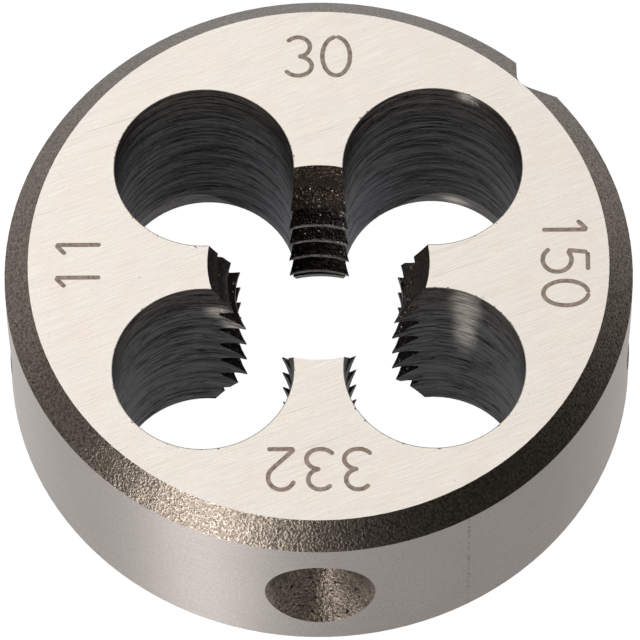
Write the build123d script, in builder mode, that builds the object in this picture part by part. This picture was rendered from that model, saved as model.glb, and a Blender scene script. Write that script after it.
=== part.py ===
"""Round threading die, closed type, for an M10 x 1.5 right-hand thread. Millimetres.

A hardened steel disc lies flat on its lower face, with the thread's axis on +Z through the
origin. Chip holes break into the threaded bore and leave toothed lands between them, on +X, +Y,
-X and -Y. Both ends of the bore open in a lead taper, which cuts the teeth off slantwise, so
the first ones take only a part of the thread's depth. In the rim are cone seats for the screws
of the die holder, in line with the lands, and one vee groove, outside a chip hole, where another
screw spreads the die once it has been slit there. The chip holes are drilled a little off
centre, so the front land is the widest.
"""

from build123d import *

import os
from math import ceil, radians, sin, tan

# ---- disc ----
body_diameter = 30.0
body_thickness = 11.0
rim_chamfer_width = 1.15  # seen from above
rim_chamfer_height = 1.05  # seen from the side

# ---- thread, ISO metric ----
thread_diameter = 10.0  # across the bottoms of the grooves
thread_pitch = 1.5
thread_flank_angle = 60.0  # between the two flanks of a tooth
groove_root_flat = 0.1875  # flat at the bottom of a groove, an eighth of the pitch
tooth_tip_flat = 0.15  # flat left on the tip of a tooth
thread_start_height = 0.275  # the lowest groove's middle on +X, above the lower face

# ---- lead tapers ----
lead_mouth_diameter = 10.6  # where a taper meets the disc's face
lead_angle = 25.0  # between the taper's wall and the axis

# ---- chip holes, with the lands midway between them ----
chip_hole_count = 4
chip_hole_diameter = 8.6
chip_circle_diameter = 15.5
first_chip_hole_angle = 45.0
chip_circle_offset = 0.27  # the drilled circle lies this far to -Y of the thread's axis

# ---- holder seats: cones sunk into the rim at half height, in line with the lands ----
seat_mouth_diameter = 5.7
seat_cone_angle = 90.0

# ---- vee groove in the rim, over the whole thickness, outside the first chip hole ----
vee_groove_depth = 1.15
vee_groove_angle = 90.0
vee_groove_floor_radius = 0.65

# ---- cutters ----
cutter_overrun = 1.0  # how far a cutter reaches past the surface it cuts
comb_clearance = 0.04  # between the comb's back and the tips of the teeth

# ---- derived ----
body_radius = body_diameter / 2
face_radius = body_radius - rim_chamfer_width
mouth_radius = lead_mouth_diameter / 2
root_radius = thread_diameter / 2
flank_slope = tan(radians(thread_flank_angle / 2))  # half width gained for each unit of depth
tooth_height = (thread_pitch - groove_root_flat - tooth_tip_flat) / (2 * flank_slope)
tip_radius = root_radius - tooth_height
lead_depth = (mouth_radius - tip_radius) / tan(radians(lead_angle))
land_pitch_angle = 360 / chip_hole_count
first_land_angle = first_chip_hole_angle - land_pitch_angle / 2
comb_angle = 0.8 * land_pitch_angle  # each comb starts and ends inside the chip holes


def disc_section():
    """Half section of the disc with its plain bore: rim chamfers outside, lead tapers inside."""
    with BuildSketch(Plane.XZ) as section:
        with BuildLine():
            Polyline(
                (tip_radius, lead_depth),
                (mouth_radius, 0),
                (face_radius, 0),
                (body_radius, rim_chamfer_height),
                (body_radius, body_thickness - rim_chamfer_height),
                (face_radius, body_thickness),
                (mouth_radius, body_thickness),
                (tip_radius, body_thickness - lead_depth),
                close=True,
            )
        make_face()
    return section.sketch


def thread_comb():
    """Cutter for one land: a comb with a tooth for each thread groove, swept along a helix.

    It starts on +X. The screw motion that carries the comb leaves right-hand grooves.
    """
    root_half = groove_root_flat / 2
    back_radius = tip_radius - comb_clearance
    back_half = root_half + (root_radius - back_radius) * flank_slope
    lowest = thread_start_height - 2 * thread_pitch
    groove_count = ceil((body_thickness - lowest) / thread_pitch) + 2
    teeth = []
    for number in range(groove_count):
        middle = lowest + number * thread_pitch
        teeth.append((back_radius, middle - back_half))
        teeth.append((root_radius, middle - root_half))
        teeth.append((root_radius, middle + root_half))
        teeth.append((back_radius, middle + back_half))
    spine_radius = back_radius - cutter_overrun
    spine = [(spine_radius, teeth[-1][1]), (spine_radius, teeth[0][1])]
    with BuildPart() as cutter:
        with BuildLine():
            path = Helix(
                pitch=thread_pitch,
                height=thread_pitch * comb_angle / 360,
                radius=root_radius,
                center=(0, 0, lowest),
            )
        with BuildSketch(Plane.XZ):
            with BuildLine():
                Polyline(*teeth, *spine, close=True)
            make_face()
        sweep(path=path, is_frenet=True)
    return cutter.part


def seat_cutter():
    """A cone on +X at half height, whose base lies outside the rim."""
    cone_slope = tan(radians(seat_cone_angle / 2))
    point_radius = body_radius - seat_mouth_diameter / 2 / cone_slope
    base_radius = body_radius + cutter_overrun
    middle = body_thickness / 2
    with BuildPart() as cutter:
        with BuildSketch(Plane.XZ):
            with BuildLine():
                Polyline(
                    (point_radius, middle),
                    (base_radius, middle),
                    (base_radius, middle + (base_radius - point_radius) * cone_slope),
                    close=True,
                )
            make_face()
        revolve(axis=Axis((0, 0, middle), (1, 0, 0)))
    return cutter.part


def vee_groove_outline():
    """The vee in plan, on +X, with its point rounded to the floor radius."""
    half_angle = radians(vee_groove_angle / 2)
    rounding = vee_groove_floor_radius * (1 / sin(half_angle) - 1)
    point_radius = body_radius - vee_groove_depth - rounding
    outer_radius = body_radius + cutter_overrun
    half_width = (outer_radius - point_radius) * tan(half_angle)
    with BuildSketch() as outline:
        with BuildLine():
            Polyline(
                (point_radius, 0),
                (outer_radius, half_width),
                (outer_radius, -half_width),
                close=True,
            )
        make_face()
        fillet(outline.vertices().sort_by(Axis.X)[0], vee_groove_floor_radius)
    return outline.sketch


with BuildPart() as threading_die:
    add(disc_section())
    revolve(axis=Axis.Z)
    comb = thread_comb()
    for land in range(chip_hole_count):
        start_angle = first_land_angle + land * land_pitch_angle - comb_angle / 2
        rise = thread_pitch * start_angle / 360
        with Locations(Location((0, 0, rise), (0, 0, start_angle))):
            add(comb, mode=Mode.SUBTRACT)
    with Locations((0, -chip_circle_offset)):
        with PolarLocations(chip_circle_diameter / 2, chip_hole_count, first_chip_hole_angle):
            Hole(chip_hole_diameter / 2)
    with PolarLocations(0, chip_hole_count, first_land_angle):
        add(seat_cutter(), mode=Mode.SUBTRACT)
    with BuildSketch():
        with PolarLocations(0, 1, first_chip_hole_angle):
            add(vee_groove_outline())
    extrude(amount=body_thickness, mode=Mode.SUBTRACT)

threading_die.part.label = "threading_die"

os.makedirs("parts", exist_ok=True)
export_step(threading_die.part, "parts/threading_die.step")
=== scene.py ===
"""Looks of the round threading die: a ground steel disc with scaled chip holes and toothed lands.

Everything is in metres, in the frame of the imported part: the thread's axis is +Z through the
origin and the lower face lies at z = 0. Sizes are written in millimetres and multiplied by MM.
Only what the nodes of a material read, such as the size of a pattern, is in plain millimetres.
"""

import math

import bmesh
import bpy
import numpy as np
from mathutils import Matrix, Vector


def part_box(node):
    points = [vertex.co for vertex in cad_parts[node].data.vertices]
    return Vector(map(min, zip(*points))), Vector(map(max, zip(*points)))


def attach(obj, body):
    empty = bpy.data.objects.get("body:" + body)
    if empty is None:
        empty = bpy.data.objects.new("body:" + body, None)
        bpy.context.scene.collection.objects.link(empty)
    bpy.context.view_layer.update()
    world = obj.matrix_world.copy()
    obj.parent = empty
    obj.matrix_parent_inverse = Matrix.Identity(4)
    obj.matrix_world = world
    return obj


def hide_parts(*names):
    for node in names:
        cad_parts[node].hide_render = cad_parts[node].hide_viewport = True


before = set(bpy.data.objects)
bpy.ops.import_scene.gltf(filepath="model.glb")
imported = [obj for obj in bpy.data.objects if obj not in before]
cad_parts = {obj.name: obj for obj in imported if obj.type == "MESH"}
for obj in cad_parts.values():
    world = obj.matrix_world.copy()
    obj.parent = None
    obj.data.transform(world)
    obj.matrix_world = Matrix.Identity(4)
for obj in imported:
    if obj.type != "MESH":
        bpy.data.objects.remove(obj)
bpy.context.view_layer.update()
MM = 0.001

# ---- the die's own sizes, as in the part's source ----
die_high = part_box("threading_die")[1]
BODY_RADIUS = die_high.x
THICKNESS = die_high.z
CHAMFER_WIDTH = 1.15 * MM
CHAMFER_HEIGHT = 1.05 * MM
CHIP_RADIUS = 4.3 * MM
CHIP_CIRCLE_RADIUS = 7.75 * MM
CHIP_CENTRE = CHIP_CIRCLE_RADIUS / math.sqrt(2)  # along X and along Y, for all four holes
CHIP_OFFSET = 0.27 * MM  # of the drilled pattern, to -Y of the thread's axis

# ---- telling the die's surfaces apart ----
FINISHES = ["face", "rim", "chamfer", "chip hole", "teeth", "seat", "vee groove"]
WELD = 0.0005 * MM  # corners of the loose triangles nearer than this are one
SMOOTH_BELOW = 22  # degrees between two triangles that are shaded as one surface
SLACK = 0.01 * MM  # how far a corner may lie off the surface that it is on
RIM_BAND = 4 * MM  # the seats and the vee groove lie within this of the rim
VEE_BAND = 2.4 * MM  # the vee groove lies where X and Y differ by less
LEVEL = 0.999  # a normal's Z is more than this on a face
UPRIGHT = 0.05  # and less than this on a wall along the axis
CHAMFER_TILT = CHAMFER_WIDTH / math.hypot(CHAMFER_WIDTH, CHAMFER_HEIGHT)  # a chamfer normal's Z
CHAMFER_TILT_SLACK = 0.02

# ---- traces of making and use, in degrees and plain millimetres ----
GRINDING_TURN = 23  # of the wheel's marks on the faces, from +X towards +Y
WITNESS_AZIMUTH = 298  # of a row of short ticks down the rim
WITNESS_REACH = 0.13
ANY_HEIGHT = 1000.0  # a reach up that takes in the whole rim
CHIPPED_TOOTH = (1.2, 4.3, 8.2)  # a bare place on the rear land
# burnished places on the chip holes' walls, also painted bright where the walls show reflections:
# the place, reach across and reach up
BURNISHED_AND_SHEEN = [((7.02, -1.74, 9.6), 1.2, 3.2), ((7.0, -1.73, 7.0), 0.9, 3.0),
             ((-4.75, -1.52, 8.8), 1.1, 0.9), ((-3.9, -1.76, 7.7), 1.2, 1.0),
             ((7.2, 9.14, 10.7), 0.9, 0.7), ((6.7, 9.32, 0.4), 1.1, 0.5)]

# ---- the marks on the upper face ----
MARK_HEIGHT = 2.15 * MM
MARK_STROKE = 0.22 * MM
MARK_ADVANCE = 1.78 * MM  # from one figure to the next
MARK_LIFT = 0.004 * MM  # of a figure's first stroke over the face
LIFT_STEP = 0.3 * MARK_LIFT  # from each stroke of a figure to the next
FIGURE_WIDTH = 0.66  # of a figure's cell, for a height of 1
RIBBON_STEP = 0.35 * MARK_STROKE  # along a stroke, between the ribbon's points
RIBBON_LEAST = 12  # points on the shortest stroke
CAP_POINTS = 5  # more points on each round end

# ---- the room, as metal shows it ----
WHITE_SIDE = (-0.22, 1.0, 0.4)  # the room is white that way: behind and over the die
WHITE_FROM = 0.55  # a direction's dot product with WHITE_SIDE from which the room is white
DARK_BELOW = -0.6  # and below which it is black
ROOM_FALL = 4.0  # power of the fall between the two
ROOM_LIGHT = 0.40  # strength of the room as a light

# ---- the floor ----
FLOOR_HALF = 600 * MM
FLOOR_DROP = 0.02 * MM  # under the lower face
FLOOR_PAPER = 0.12  # share of the floor's own paper, which keeps the shadow
FLOOR_GLOW = 1.13  # strength that makes up for that share, so that the floor is white
FLOOR_FRONT = 0.42  # how white metal shows the floor under and in front of the die, a painted shadow
FLOOR_BESIDE = 0.55  # what is added to that beside and behind the die
PAST_RIM = (14, 15.5)  # from the thread's axis, in plain millimetres: none to all of it is added
PAST_FRONT = (-15, -4)  # and along Y

# ---- the camera ----
FRAME_PIXELS = 640
FOCAL_PIXELS = 8183
SENSOR_WIDTH = 36  # millimetres, as Blender takes it
CAMERA_DISTANCE = 399.3 * MM
CAMERA_ELEVATION = 61.31
CAMERA_AZIMUTH = 0.56
CAMERA_ROLL = 0.84
CAMERA_RISE = 2.506 * MM  # of the line of sight over the origin
CAMERA_SIDE = -0.004 * MM
CAMERA_CLIP = (10 * MM, 10000 * MM)


# ------------------------------------------------------------------ nodes and colours

WHITE = (1, 1, 1, 1)
COLOUR_A, COLOUR_B, COLOUR_OUT = 6, 7, 2  # a Mix node's sockets for colours


def linear(hex_colour):
    """The opaque linear colour of an sRGB hex value such as "E6E0D8"."""
    parts = [int(hex_colour[i:i + 2], 16) / 255 for i in (0, 2, 4)]
    return *(p / 12.92 if p <= 0.04045 else ((p + 0.055) / 1.055) ** 2.4 for p in parts), 1.0


def add_node(tree, kind, inputs=None, **settings):
    """Adds a node. An input gets a constant, or a link from a socket or a node's first output."""
    node = tree.nodes.new(kind)
    for name, value in settings.items():
        setattr(node, name, value)
    for socket, value in (inputs or {}).items():
        if isinstance(value, bpy.types.Node):
            value = value.outputs[0]
        if isinstance(value, bpy.types.NodeSocket):
            tree.links.new(value, node.inputs[socket])
        else:
            node.inputs[socket].default_value = value
    return node


def start_material(name, colour, metallic, roughness):
    """A material with one Principled shader, and its constants on the shader's own sockets."""
    material = bpy.data.materials.new(name)
    material.use_nodes = True
    tree = material.node_tree
    shader = tree.nodes["Principled BSDF"]
    shader.inputs["Base Color"].default_value = linear(colour)
    shader.inputs["Metallic"].default_value = metallic
    shader.inputs["Roughness"].default_value = roughness
    return material, tree, shader


def painted(tree, first, layers):
    """A first colour with other colours laid over it in turn.

    A layer is a colour, its strength, and one or more amounts from 0 to 1 that tell where it
    lies. It covers what is under it by the strength times those amounts.
    """
    colour = linear(first)
    for over, strength, *amounts in layers:
        share = strength
        for amount in amounts:
            share = add_node(tree, "ShaderNodeMath", {0: share, 1: amount}, operation="MULTIPLY")
        laid = add_node(tree, "ShaderNodeMix",
                        {"Factor": share, COLOUR_A: colour, COLOUR_B: linear(over)},
                        data_type="RGBA")
        colour = laid.outputs[COLOUR_OUT]
    return colour


def finish_shader(tree, shader, colour, height=None, depth=0.0):
    """Gives the shader its colour, and a relief if there is a height map.

    The height map's 0 to 1 stands for the depth in millimetres.
    """
    tree.links.new(colour, shader.inputs["Base Color"])
    if height is not None:
        bump = add_node(tree, "ShaderNodeBump",
                        {"Height": height, "Distance": depth * MM, "Strength": 1.0})
        tree.links.new(bump.outputs[0], shader.inputs["Normal"])


# ------------------------------------------------------------------ places on the die

def place_mm(tree):
    """Where a point of the die lies, in millimetres."""
    place = add_node(tree, "ShaderNodeTexCoord").outputs["Object"]
    return add_node(tree, "ShaderNodeVectorMath", {0: place, "Scale": 1 / MM}, operation="SCALE")


def from_axis_mm(tree):
    """How far a point lies from the thread's axis, in millimetres."""
    across = add_node(tree, "ShaderNodeVectorMath", {0: place_mm(tree), 1: (1, 1, 0)},
                      operation="MULTIPLY")
    return add_node(tree, "ShaderNodeVectorMath", {0: across}, operation="LENGTH").outputs["Value"]


def past_chip_edge(tree):
    """How far a point lies outside the nearest chip hole's edge, in millimetres.

    The four holes are folded onto one: the distance from (|X|, |Y + offset|) to that hole's
    axis, less the hole's radius.
    """
    axis = CHIP_CENTRE / MM
    pattern = add_node(tree, "ShaderNodeVectorMath",
                       {0: place_mm(tree), 1: (0, CHIP_OFFSET / MM, 0)}, operation="ADD")
    folded = add_node(tree, "ShaderNodeVectorMath", {0: pattern}, operation="ABSOLUTE")
    across = add_node(tree, "ShaderNodeVectorMath",
                      {0: folded, 1: (1, 1, 0), 2: (-axis, -axis, 0)}, operation="MULTIPLY_ADD")
    reach = add_node(tree, "ShaderNodeVectorMath", {0: across}, operation="LENGTH")
    return add_node(tree, "ShaderNodeMath",
                    {0: reach.outputs["Value"], 1: CHIP_RADIUS / MM}, operation="SUBTRACT")


def near_point(tree, point, reach, reach_up):
    """1 at a point of the die, falling to 0 at a reach across and a reach up, in millimetres."""
    reaches = (reach, reach, reach_up)
    apart = add_node(tree, "ShaderNodeVectorMath",
                     {0: place_mm(tree), 1: [1 / r for r in reaches],
                      2: [-p / r for p, r in zip(point, reaches)]}, operation="MULTIPLY_ADD")
    length = add_node(tree, "ShaderNodeVectorMath", {0: apart}, operation="LENGTH")
    return add_node(tree, "ShaderNodeMapRange",
                    {"Value": length.outputs["Value"], "From Min": 1, "From Max": 0},
                    interpolation_type="SMOOTHERSTEP")


def texture_marks(tree, sizes, low=0.35, high=0.65, turn=0.0, detail=2.0, along_rim=False):
    """Cloudy marks, 0 to 1, whose length along X, Y and Z is given in millimetres.

    The noise's low value becomes 0 and its high value 1. Turn swings X towards Y, in degrees.
    Along the rim, X is the arc length at the body's radius.
    """
    place = place_mm(tree)
    if along_rim:
        apart = add_node(tree, "ShaderNodeSeparateXYZ", {0: place})
        angle = add_node(tree, "ShaderNodeMath", {0: apart.outputs["Y"], 1: apart.outputs["X"]},
                         operation="ARCTAN2")
        along = add_node(tree, "ShaderNodeMath", {0: angle, 1: BODY_RADIUS / MM},
                         operation="MULTIPLY")
        place = add_node(tree, "ShaderNodeCombineXYZ", {"X": along, "Z": apart.outputs["Z"]})
    turned = add_node(tree, "ShaderNodeMapping",
                      {"Vector": place, "Rotation": (0, 0, math.radians(-turn))})
    scaled = add_node(tree, "ShaderNodeMapping",
                      {"Vector": turned, "Scale": [1 / size for size in sizes]})
    noise = add_node(tree, "ShaderNodeTexNoise", {"Vector": scaled, "Scale": 1.0, "Detail": detail})
    return add_node(tree, "ShaderNodeMapRange",
                    {"Value": noise.outputs["Fac"], "From Min": low, "From Max": high})


# ------------------------------------------------------------------ finishes

def surface_ground_steel():
    """Tool steel, surface ground: bright, with the wheel's fine straight marks all one way.

    The wheel's marks are 0.02 mm wide, too fine to show, and are drawn 0.075 mm wide. Over them
    lie broad streaks, faint cool and warm patches, a few scratches, and a dark burr of 0.03 to
    0.15 mm that comes and goes along the edges of the chip holes.
    """
    material, tree, shader = start_material("surface ground tool steel", "DDD5CA",
                                            metallic=0.85, roughness=0.42)
    wheel_marks = texture_marks(tree, (1.5, 0.075, 1), turn=GRINDING_TURN, detail=3)
    streaks = texture_marks(tree, (9, 0.45, 1), turn=GRINDING_TURN + 2, detail=3)
    cool = texture_marks(tree, (1.7, 1.1, 1), turn=GRINDING_TURN, detail=3)
    warm = texture_marks(tree, (2.3, 1.6, 1), 0.45, 0.7, turn=110, detail=3)
    grain = texture_marks(tree, (0.13, 0.11, 1))
    scratches = texture_marks(tree, (10, 0.09, 1), 0.71, 0.74, turn=GRINDING_TURN - 3, detail=1)
    specks = texture_marks(tree, (0.24, 0.17, 1), 0.80, 0.82, detail=1)
    burrs = texture_marks(tree, (0.30, 0.30, 1), 0.60, 0.75, detail=3)
    burr_width = add_node(tree, "ShaderNodeMath", {0: burrs, 1: 0.12, 2: 0.03},
                          operation="MULTIPLY_ADD")
    burr = add_node(tree, "ShaderNodeMath", {0: past_chip_edge(tree), 1: burr_width},
                    operation="LESS_THAN")
    colour = painted(tree, "DCD3C8", [
        ("E8E0D6", 1.0, wheel_marks),
        ("F2ECE2", 0.20, streaks),
        ("DEDEDD", 0.30, cool),
        ("E6D2C8", 0.30, warm),
        ("C9BDB2", 0.16, grain),
        ("A79A8F", 0.35, scratches),
        ("6F645C", 0.75, specks),
        ("3A322C", 0.8, burr),
    ])
    finish_shader(tree, shader, colour, wheel_marks, 0.003)
    return material


def cylinder_ground_steel():
    """Tool steel, ground round the rim: satin, its fine marks run round and spread light upward.

    The marks are 0.02 mm wide, too fine to show, and are drawn 0.07 mm wide. Soft upright
    patches of painted sheen lie over them. A row of short ticks runs down the rim at one side.
    """
    material, tree, shader = start_material("cylindrically ground tool steel", "B4AEA9",
                                            metallic=0.85, roughness=0.47)
    shader.inputs["Anisotropic"].default_value = 0.88
    shader.inputs["Anisotropic Rotation"].default_value = 0.25
    round_rim = add_node(tree, "ShaderNodeTangent", direction_type="RADIAL", axis="Z")
    tree.links.new(round_rim.outputs[0], shader.inputs["Tangent"])
    wheel_marks = texture_marks(tree, (2.2, 1, 0.07), detail=3, along_rim=True)
    # painted sheen: soft upright patches, paler in the colour
    patches = texture_marks(tree, (2.5, 1, 5.0), along_rim=True)
    grain = texture_marks(tree, (0.16, 1, 0.10), along_rim=True)
    ticks = texture_marks(tree, (0.4, 1, 0.16), 0.50, 0.56, detail=1, along_rim=True)
    side = math.radians(WITNESS_AZIMUTH)
    foot = (math.cos(side) * BODY_RADIUS / MM, math.sin(side) * BODY_RADIUS / MM, 0)
    colour = painted(tree, "B1AAA5", [
        ("BFB8B3", 1.0, wheel_marks),
        # painted sheen
        ("C0BAB5", 0.25, patches),
        ("9C9591", 0.55, grain),
        ("5C5651", 0.5, ticks, near_point(tree, foot, WITNESS_REACH, ANY_HEIGHT)),
    ])
    finish_shader(tree, shader, colour)
    return material


def grained_scale():
    """Heat-treatment scale on turned steel: dark brown and gritty, each grain a glint.

    The grains are 0.04 mm across, too fine to show, and are drawn 0.12 mm across.
    """
    material, tree, shader = start_material("grained heat-treatment scale", "6C635D",
                                            metallic=0.95, roughness=0.36)
    grains = texture_marks(tree, (0.12, 0.12, 0.12), 0.36, 0.64)
    lumps = texture_marks(tree, (0.6, 0.6, 0.6), 0.3, 0.7)
    specks = texture_marks(tree, (0.17, 0.17, 0.17), 0.62, 0.70, detail=1)
    colour = painted(tree, "50483F", [
        ("7E746B", 1.0, grains),
        ("645C56", 0.3, lumps),
        ("2C2622", 0.6, specks),
    ])
    rough = add_node(tree, "ShaderNodeMath", {0: grains, 1: lumps}, operation="ADD")
    finish_shader(tree, shader, colour, rough, 0.008)
    return material


def scaled_bore_steel():
    """Scale on the drilled chip holes: near black, with the ridges and tears that the drill left.

    The drill's feed of 0.16 mm a turn gives the fine rings, and its chatter the broad ridges.
    The holes are paler at the front, a painted light that stands in for the light that the
    front holes catch. Bluish patches, and a bluish band low down beside the front and rear
    lands, are painted sheen. The holes are brown and gritty at the top. A pale lip runs round
    the foot of the wall, and rises to 1 mm where the wall is farthest from the thread's axis.
    Some places are burnished, and painted bright where the walls show reflections.
    """
    material, tree, shader = start_material("scaled drilled tool steel", "2C2C2D",
                                            metallic=0.8, roughness=0.36)
    ridges = texture_marks(tree, (4.0, 4.0, 0.60), detail=3)
    feed_rings = texture_marks(tree, (2.5, 2.5, 0.16))
    torn = texture_marks(tree, (1.6, 1.6, 2.4), 0.38, 0.54)
    gouges = texture_marks(tree, (1.3, 1.3, 0.17), 0.53, 0.57, detail=3)
    tears = add_node(tree, "ShaderNodeMath", {0: torn, 1: gouges}, operation="MULTIPLY")
    # painted sheen: bluish patches on the hole walls
    sheen = texture_marks(tree, (2.4, 2.4, 3.5), 0.40, 0.70)
    grit = texture_marks(tree, (0.45, 0.45, 0.17), 0.50, 0.60, detail=3)
    streaks = texture_marks(tree, (1.0, 1.0, 0.16), 0.35, 0.60, detail=3)
    # streaks of the burnished places, whose brightness is partly a painted reflection
    burnish_and_sheen = add_node(tree, "ShaderNodeMath", {0: streaks, 1: 0.8, 2: 0.3},
                       operation="MULTIPLY_ADD")

    # where on the wall, in millimetres along an axis or from the thread's axis
    place = add_node(tree, "ShaderNodeSeparateXYZ", {0: place_mm(tree)}).outputs
    from_middle = add_node(tree, "ShaderNodeMath", {0: place["X"]}, operation="ABSOLUTE")
    # painted light: the front holes are made paler in colour, as if more light reached them
    front = add_node(tree, "ShaderNodeMapRange",
                     {"Value": place["Y"], "From Min": 5, "From Max": 0})
    # painted sheen: this and the next mask lay a bluish band low down beside the lands
    by_land = add_node(tree, "ShaderNodeMapRange",
                       {"Value": from_middle, "From Min": 4.0, "From Max": 1.8})
    low = add_node(tree, "ShaderNodeMapRange",
                   {"Value": place["Z"], "From Min": 9, "From Max": 3})
    top = add_node(tree, "ShaderNodeMapRange",
                   {"Value": place["Z"], "From Min": 8.0, "From Max": 11.0})
    lip_height = add_node(tree, "ShaderNodeMapRange",
                          {"Value": from_axis_mm(tree), "From Min": 10.0, "From Max": 11.3})
    over_lip = add_node(tree, "ShaderNodeMath", {0: place["Z"], 1: lip_height},
                        operation="SUBTRACT")
    lip = add_node(tree, "ShaderNodeMapRange",
                   {"Value": over_lip, "From Min": 0.0, "From Max": -0.08})
    colour = painted(tree, "0E0E0F", [
        ("262627", 1.0, ridges),
        ("343434", 0.15, feed_rings),
        # painted light on the front holes
        ("626262", 0.6, front),
        # painted sheen, in patches and low down beside the lands
        ("3F4249", 0.35, sheen),
        ("4C4C58", 0.7, by_land, low),
        ("4A392B", 0.8, top),
        ("050403", 0.9, top, grit),
        ("040404", 0.9, tears),
        ("7E7B78", 0.65, lip),
    # burnished places, painted bright partly as reflections on the walls
    ] + [("D8CEC2", 1.0, near_point(tree, *where), burnish_and_sheen) for where in BURNISHED_AND_SHEEN])
    depth = add_node(tree, "ShaderNodeMath", {0: ridges, 1: tears}, operation="SUBTRACT")
    finish_shader(tree, shader, colour, depth, 0.075)
    return material


def scaled_tooth_steel():
    """Scale on the cut teeth: brown-black and oily, with bright flecks, and crests worn bare.

    Towards the top, the lead taper is paler brown with fine marks along the axis. The marks and
    the grit are 0.03 mm wide, too fine to show, and are drawn 0.14 mm and 0.10 mm wide. A crest
    is bare up to 4.00 mm from the axis.
    """
    material, tree, shader = start_material("scaled cut teeth", "1A1410",
                                            metallic=0.75, roughness=0.30)
    torn = texture_marks(tree, (0.45, 0.45, 0.12), detail=3)
    gritty = texture_marks(tree, (0.10, 0.10, 0.10), 0.3, 0.7)
    flecks = texture_marks(tree, (0.16, 0.16, 0.12), 0.66, 0.72)
    axial = texture_marks(tree, (0.14, 0.14, 4.0))
    place = add_node(tree, "ShaderNodeSeparateXYZ", {0: place_mm(tree)}).outputs
    lead = add_node(tree, "ShaderNodeMapRange",
                    {"Value": place["Z"], "From Min": 8.0, "From Max": 10.4})
    crest = add_node(tree, "ShaderNodeMapRange",
                     {"Value": from_axis_mm(tree), "From Min": 4.05, "From Max": 4.00})
    worn = add_node(tree, "ShaderNodeMath", {0: torn, 1: 0.7, 2: 0.2}, operation="MULTIPLY_ADD")
    colour = painted(tree, "060403", [
        ("1C1510", 1.0, torn),
        ("4C3E32", 0.7, lead),
        ("1C1611", 0.5, lead, axial),
        ("A79E95", 1.0, flecks),
        ("9A948C", 1.0, crest, worn),
        ("D8CDBF", 2.0, near_point(tree, CHIPPED_TOOTH, 0.7, 0.6), gritty),
    ])
    rough = add_node(tree, "ShaderNodeMath", {0: torn, 1: gritty}, operation="ADD")
    finish_shader(tree, shader, colour, rough, 0.025)
    return material


def drilled_seat_steel():
    """Bare steel of the drilled seats: torn and pitted, dark with bright grains.

    The torn grains are 0.05 mm across, too fine to show, and are drawn 0.15 mm across. The pits
    are painted near black: painted shade.
    """
    material, tree, shader = start_material("drilled seat steel", "6A6057",
                                            metallic=0.7, roughness=0.38)
    torn = texture_marks(tree, (0.15, 0.15, 0.10), 0.3, 0.7)
    patches = texture_marks(tree, (0.9, 0.9, 0.5), detail=3)
    # painted shade: the pits are drawn near black in the colour, with no relief of their own
    shaded_pits = texture_marks(tree, (0.26, 0.26, 0.26), 0.67, 0.70, detail=1)
    colour = painted(tree, "40372F", [
        ("887B6E", 1.0, torn),
        ("3A312A", 0.4, patches),
        # painted shade in the pits
        ("0A0807", 1.0, shaded_pits),
    ])
    finish_shader(tree, shader, colour, torn, 0.024)
    return material


def etched_oxide():
    """Steel browned by a marking current: dull and mottled beside the ground face."""
    material, tree, shader = start_material("etched oxide", "97857A",
                                            metallic=0.3, roughness=0.6)
    mottle = texture_marks(tree, (0.22, 0.22, 1), 0.3, 0.7)
    finish_shader(tree, shader, painted(tree, "7F6C60", [("AA9A8D", 1.0, mottle)]))
    return material


# ------------------------------------------------------------------ the die

def merged_copy(name, node):
    """A copy of a CAD node whose loose triangles are joined at their corners."""
    mesh = bpy.data.meshes.new(name)
    welded = bmesh.new()
    welded.from_mesh(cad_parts[node].data)
    bmesh.ops.remove_doubles(welded, verts=welded.verts, dist=WELD)
    welded.to_mesh(mesh)
    welded.free()
    mesh.materials.clear()
    piece = bpy.data.objects.new(name, mesh)
    bpy.context.collection.objects.link(piece)
    return piece


def read_array(collection, attribute, width, kind=np.float64):
    """An attribute of a mesh's vertices, loops or polygons as one array."""
    values = np.empty(len(collection) * width, kind)
    collection.foreach_get(attribute, values)
    return values.reshape(-1, width) if width > 1 else values


def find_regions(triangles, normals):
    """Which of FINISHES each triangle has, as an index, from its corners and its normal.

    Seat: near the rim and no face. Vee groove: near the rim, upright, with X close to Y. Rim:
    corners at the body's radius. Chamfer: near the rim and a face, with the chamfers' tilt.
    Chip hole: upright, corners at the hole's radius from its axis. Face: normal along Z. What
    is left is the thread. Where two fit, the later one holds.
    """
    x, y, z = np.moveaxis(triangles, 2, 0)
    middle = triangles.mean(1)
    tilt = np.abs(normals[:, 2])
    upright = tilt < UPRIGHT
    near_rim = np.hypot(middle[:, 0], middle[:, 1]) > BODY_RADIUS - RIM_BAND
    near_vee = (np.abs(middle[:, 0] - middle[:, 1]) < VEE_BAND) & (middle[:, 0] > 0)
    from_chip_axis = np.hypot(np.abs(x) - CHIP_CENTRE, np.abs(y + CHIP_OFFSET) - CHIP_CENTRE)
    on_chip_wall = (np.abs(from_chip_axis - CHIP_RADIUS) < SLACK).all(1)
    on_rim = (np.abs(np.hypot(x, y) - BODY_RADIUS) < SLACK).all(1)
    near_face = (np.abs(z - THICKNESS / 2) > THICKNESS / 2 - CHAMFER_HEIGHT - SLACK).all(1)
    on_chamfer = near_face & (np.abs(tilt - CHAMFER_TILT) < CHAMFER_TILT_SLACK)
    found = {
        "seat": near_rim & (tilt < LEVEL),
        "vee groove": near_rim & near_vee & upright,
        "rim": on_rim,
        "chamfer": near_rim & on_chamfer,
        "chip hole": on_chip_wall & upright,
        "face": tilt > LEVEL,
    }
    region = np.full(len(triangles), FINISHES.index("teeth"), np.int32)
    for name, chosen in found.items():
        region[chosen] = FINISHES.index(name)
    return region


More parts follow.
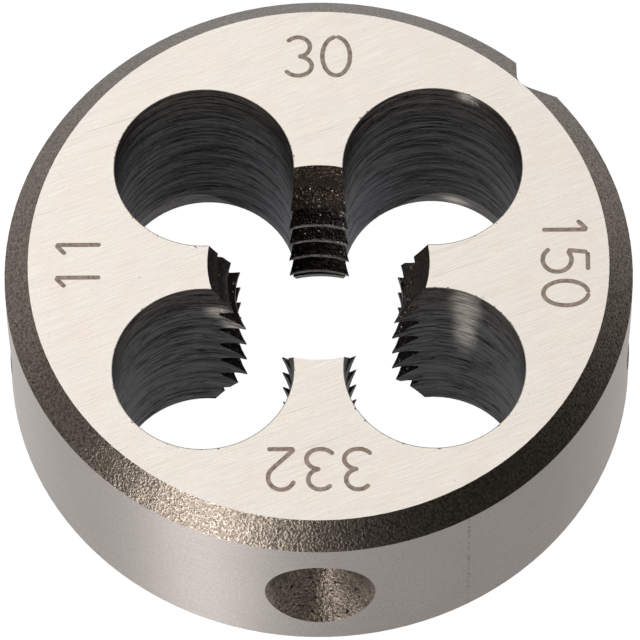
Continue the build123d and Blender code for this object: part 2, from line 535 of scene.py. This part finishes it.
def true_normals(corners, corner_up):
    """The exact normal at each corner, for every kind of surface that is flat or turned.

    Face: straight up or down. Rim: away from the thread's axis. Chamfer: away from the axis by
    the cosine of its slope and up or down by the sine. Chip hole: towards the hole's own axis.
    """
    vertical = np.array((0, 0, 1))
    from_axis = np.maximum(np.hypot(corners[:, 0], corners[:, 1]), SLACK)
    outward = corners * (1, 1, 0) / from_axis[:, None]
    end = np.sign(corners[:, 2] - THICKNESS / 2)[:, None] * vertical
    from_pattern = corners[:, :2] + (0, CHIP_OFFSET)
    into_hole = np.zeros_like(corners)
    into_hole[:, :2] = np.sign(from_pattern) * CHIP_CENTRE - from_pattern
    into_hole /= np.linalg.norm(into_hole, axis=1)[:, None]
    return {"face": corner_up[:, None] * vertical,
            "rim": outward,
            "chamfer": outward * math.sqrt(1 - CHAMFER_TILT ** 2) + end * CHAMFER_TILT,
            "chip hole": into_hole}


def dress_die():
    """The die with a finish for each kind of surface, and the true normals of the turned ones."""
    piece = merged_copy("ground_die", "threading_die")
    mesh = piece.data
    # in the order of FINISHES, whose last one, the vee groove, shares the chamfers' scale
    for make in (surface_ground_steel, cylinder_ground_steel, grained_scale, scaled_bore_steel,
                 scaled_tooth_steel, drilled_seat_steel):
        mesh.materials.append(make())
    mesh.polygons.foreach_set("use_smooth", np.ones(len(mesh.polygons), bool))
    mesh.set_sharp_from_angle(angle=math.radians(SMOOTH_BELOW))
    normals = read_array(mesh.corner_normals, "vector", 3)
    flat = read_array(mesh.polygons, "normal", 3)
    corner_vertex = read_array(mesh.loops, "vertex_index", 1, np.int32)
    corners = read_array(mesh.vertices, "co", 3)[corner_vertex]

    region = find_regions(corners.reshape(-1, 3, 3), flat)
    corner_region = np.repeat(region, 3)
    for name, values in true_normals(corners, np.repeat(np.sign(flat[:, 2]), 3)).items():
        chosen = corner_region == FINISHES.index(name)
        normals[chosen] = values[chosen]
    region[region == FINISHES.index("vee groove")] = FINISHES.index("chamfer")
    mesh.polygons.foreach_set("material_index", region)
    mesh.normals_split_custom_set(normals.tolist())
    mesh.update()
    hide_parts("threading_die")
    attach(piece, "root")


# ------------------------------------------------------------------ the marks

def arc(middle, radii, start, end, count=24):
    """Points on an ellipse: its middle plus each radius times the cosine or sine of the angle.

    The angle goes from start to end, in degrees.
    """
    angle = np.radians(np.linspace(start, end, count))
    return np.stack([middle[0] + radii[0] * np.cos(angle), middle[1] + radii[1] * np.sin(angle)], 1)


# each figure is a few strokes in a cell FIGURE_WIDTH wide and 1 high
FIGURES = {
    "0": [arc((0.33, 0.5), (0.31, 0.5), 90, 450, 48)],
    "1": [np.array([(0.14, 0.78), (0.38, 1.0)]), np.array([(0.38, 1.0), (0.38, 0.0)])],
    "2": [np.concatenate([arc((0.33, 0.70), (0.29, 0.30), 165, -40), [(0.04, 0.0)]]),
          np.array([(0.04, 0.0), (0.64, 0.0)])],
    "3": [arc((0.30, 0.75), (0.27, 0.25), 150, -90), arc((0.30, 0.25), (0.31, 0.25), 90, -155)],
    "5": [np.array([(0.58, 1.0), (0.12, 1.0)]), np.array([(0.12, 1.0), (0.07, 0.55)]),
          arc((0.31, 0.32), (0.31, 0.32), 135, -150)],
}
# outward direction of each mark's top, distance of its middle from the axis, figures
MARKS = [((0, 1), 11.35 * MM, "30"), ((1, 0), 11.75 * MM, "150"),
         ((0, -1), 11.15 * MM, "332"), ((-1, 0), 11.45 * MM, "11")]


def stroke_ribbon(path):
    """A flat ribbon: path(t) plus side(t) times half width(t) times v, with v at -1 and at 1.

    The half width is that of the stroke, and falls to nothing at both ends as a semicircle does.
    """
    half_stroke = MARK_STROKE / 2
    steps = np.linalg.norm(np.diff(path, axis=0), axis=1)
    along = np.concatenate([[0], np.cumsum(steps)])
    length = along[-1]
    inner = np.linspace(0, length, max(RIBBON_LEAST, int(length / RIBBON_STEP)))
    cap = half_stroke * (1 - np.cos(np.linspace(0, math.pi / 2, CAP_POINTS, endpoint=False)))
    samples = np.unique(np.concatenate([inner, cap, length - cap]))
    centre = np.stack([np.interp(samples, along, path[:, k]) for k in (0, 1)], 1)
    tangent = np.gradient(centre, samples, axis=0)
    tangent /= np.linalg.norm(tangent, axis=1)[:, None]
    side = np.stack([-tangent[:, 1], tangent[:, 0]], 1)
    from_end = np.minimum(np.minimum(samples, length - samples) / half_stroke, 1)
    half = half_stroke * np.sqrt(1 - (1 - from_end) ** 2)
    return np.stack([centre - side * half[:, None], centre + side * half[:, None]], 1)


def etched_marks():
    """Plain figures on the upper face, all in one mesh of ribbons, a hair above the steel.

    A figure's strokes lie at slightly different heights, so that they cross cleanly.
    """
    points, faces = [], []
    count = 0
    for up, distance, figures in MARKS:
        up = np.array(up, float)
        right = np.array([up[1], -up[0]])
        width = MARK_ADVANCE * (len(figures) - 1) + FIGURE_WIDTH * MARK_HEIGHT
        for place, figure in enumerate(figures):
            corner = (width / 2 - MARK_ADVANCE * place, MARK_HEIGHT / 2)
            for number, stroke in enumerate(FIGURES[figure]):
                local = stroke * MARK_HEIGHT - corner
                ribbon = stroke_ribbon(up * distance + local[:, :1] * right + local[:, 1:] * up)
                level = THICKNESS + MARK_LIFT + LIFT_STEP * number
                heights = np.full((len(ribbon) * 2, 1), level)
                points.append(np.concatenate([ribbon.reshape(-1, 2), heights], 1))
                row = count + 2 * np.arange(len(ribbon) - 1)
                faces.append(np.stack([row, row + 2, row + 3, row + 1], 1))
                count += len(heights)
    mesh = bpy.data.meshes.new("etched_marks")
    mesh.from_pydata(np.concatenate(points).tolist(), [], np.concatenate(faces).tolist())
    mesh.materials.append(etched_oxide())
    piece = bpy.data.objects.new("etched_marks", mesh)
    bpy.context.collection.objects.link(piece)
    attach(piece, "root")


# ------------------------------------------------------------------ studio

def seen_as_backdrop(tree, in_metal=1.0):
    """1 for camera and transmission rays, and for glossy rays the share that metal is to show."""
    path = add_node(tree, "ShaderNodeLightPath").outputs
    glossy = add_node(tree, "ShaderNodeMath", {0: path["Is Glossy Ray"], 1: in_metal},
                      operation="MULTIPLY")
    both = add_node(tree, "ShaderNodeMath", {0: path["Is Camera Ray"], 1: glossy},
                    operation="MAXIMUM")
    return add_node(tree, "ShaderNodeMath", {0: both, 1: path["Is Transmission Ray"]},
                    operation="MAXIMUM")


def white_world():
    """A soft white room: white where it is seen, weaker as a light.

    Metal shows it white behind and over the die, and darker low down on the camera's side.
    """
    world = bpy.data.worlds.new("white room")
    bpy.context.scene.world = world
    world.use_nodes = True
    tree = world.node_tree
    tree.nodes.clear()
    aim = add_node(tree, "ShaderNodeTexCoord").outputs["Generated"]
    towards_white = add_node(tree, "ShaderNodeVectorMath", {0: aim, 1: WHITE_SIDE},
                             operation="DOT_PRODUCT")
    white_share = add_node(tree, "ShaderNodeMapRange",
                           {"Value": towards_white.outputs["Value"], "From Min": DARK_BELOW,
                            "From Max": WHITE_FROM})
    in_metal = add_node(tree, "ShaderNodeMath", {0: white_share, 1: ROOM_FALL}, operation="POWER")
    path = add_node(tree, "ShaderNodeLightPath").outputs
    shown = add_node(tree, "ShaderNodeMath", {0: in_metal, 1: path["Is Camera Ray"]},
                     operation="MAXIMUM")
    seen = add_node(tree, "ShaderNodeBackground", {"Color": WHITE, "Strength": shown})
    felt = add_node(tree, "ShaderNodeBackground", {"Color": WHITE, "Strength": ROOM_LIGHT})
    room = add_node(tree, "ShaderNodeMixShader", {0: seen_as_backdrop(tree), 1: felt, 2: seen})
    add_node(tree, "ShaderNodeOutputWorld", {"Surface": room})


def white_floor():
    """A plain pale floor under the die, which keeps a faint shadow of it.

    Metal shows it white beside and behind the die, and darker under it and in front of it: a
    shadow painted into the floor's glow.
    """
    mesh = bpy.data.meshes.new("floor")
    mesh.from_pydata([(-FLOOR_HALF, -FLOOR_HALF, 0), (FLOOR_HALF, -FLOOR_HALF, 0),
                      (FLOOR_HALF, FLOOR_HALF, 0), (-FLOOR_HALF, FLOOR_HALF, 0)],
                     [], [(0, 1, 2, 3)])
    floor = bpy.data.objects.new("floor", mesh)
    bpy.context.collection.objects.link(floor)
    floor.location.z = -FLOOR_DROP
    material = bpy.data.materials.new("white paper")
    material.use_nodes = True
    tree = material.node_tree
    tree.nodes.clear()
    paper = add_node(tree, "ShaderNodeBsdfDiffuse", {"Color": linear("E8E8E8")})
    glow = add_node(tree, "ShaderNodeEmission", {"Color": WHITE, "Strength": FLOOR_GLOW})
    place = add_node(tree, "ShaderNodeSeparateXYZ", {0: place_mm(tree)}).outputs
    past_rim = add_node(tree, "ShaderNodeMapRange",
                        {"Value": from_axis_mm(tree), "From Min": PAST_RIM[0],
                         "From Max": PAST_RIM[1]})
    past_front = add_node(tree, "ShaderNodeMapRange",
                          {"Value": place["Y"], "From Min": PAST_FRONT[0],
                           "From Max": PAST_FRONT[1]})
    # painted shadow: metal sees the floor's glow dimmer under and in front of the die
    beside = add_node(tree, "ShaderNodeMath", {0: past_rim, 1: past_front}, operation="MULTIPLY")
    in_metal = add_node(tree, "ShaderNodeMath", {0: beside, 1: FLOOR_BESIDE, 2: FLOOR_FRONT},
                        operation="MULTIPLY_ADD")
    share = add_node(tree, "ShaderNodeMath",
                     {0: seen_as_backdrop(tree, in_metal), 1: 1 - FLOOR_PAPER},
                     operation="MULTIPLY")
    surface = add_node(tree, "ShaderNodeMixShader", {0: share, 1: paper, 2: glow})
    add_node(tree, "ShaderNodeOutputMaterial", {"Surface": surface})
    mesh.materials.append(material)


def soft_light(name, azimuth, elevation, distance, width, height, radiance):
    """A soft light that faces the origin. Its power is radiance times pi times its area.

    Its azimuth goes from +X towards +Y, and both angles are in degrees.
    """
    data = bpy.data.lights.new(name, "AREA")
    data.shape = "RECTANGLE"
    data.size = width
    data.size_y = height
    data.energy = radiance * math.pi * width * height
    lamp = bpy.data.objects.new(name, data)
    bpy.context.collection.objects.link(lamp)
    turn, lift = math.radians(azimuth), math.radians(elevation)
    towards = Vector((math.cos(turn) * math.cos(lift), math.sin(turn) * math.cos(lift),
                      math.sin(lift)))
    lamp.location = towards * distance
    lamp.rotation_euler = towards.to_track_quat("Z", "Y").to_euler()


def die_camera():
    """The camera, from above the front seat. Its line of sight passes a little over the origin."""
    turn, lift, roll = (math.radians(a) for a in (CAMERA_AZIMUTH, CAMERA_ELEVATION, CAMERA_ROLL))
    level_right = Vector((math.cos(turn), math.sin(turn), 0))
    level_ahead = Vector((-math.sin(turn), math.cos(turn), 0))
    plumb = Vector((0, 0, 1))
    ahead = level_ahead * math.cos(lift) - plumb * math.sin(lift)
    level_up = level_ahead * math.sin(lift) + plumb * math.cos(lift)
    right = level_right * math.cos(roll) - level_up * math.sin(roll)
    up = level_right * math.sin(roll) + level_up * math.cos(roll)
    data = bpy.data.cameras.new("camera")
    data.sensor_width = SENSOR_WIDTH
    data.lens = SENSOR_WIDTH * FOCAL_PIXELS / FRAME_PIXELS
    data.clip_start, data.clip_end = CAMERA_CLIP
    camera = bpy.data.objects.new("camera", data)
    bpy.context.collection.objects.link(camera)
    camera.matrix_world = Matrix((right, up, -ahead)).transposed().to_4x4()
    camera.location = right * CAMERA_SIDE + up * CAMERA_RISE - ahead * CAMERA_DISTANCE
    bpy.context.scene.camera = camera


dress_die()
etched_marks()
white_world()
white_floor()
soft_light("key light", azimuth=118, elevation=52, distance=450 * MM, width=250 * MM,
           height=250 * MM, radiance=1.0)
soft_light("glint light", azimuth=237, elevation=29, distance=350 * MM, width=120 * MM,
           height=100 * MM, radiance=23.5)
die_camera()
bpy.context.scene.view_settings.view_transform = "Standard"
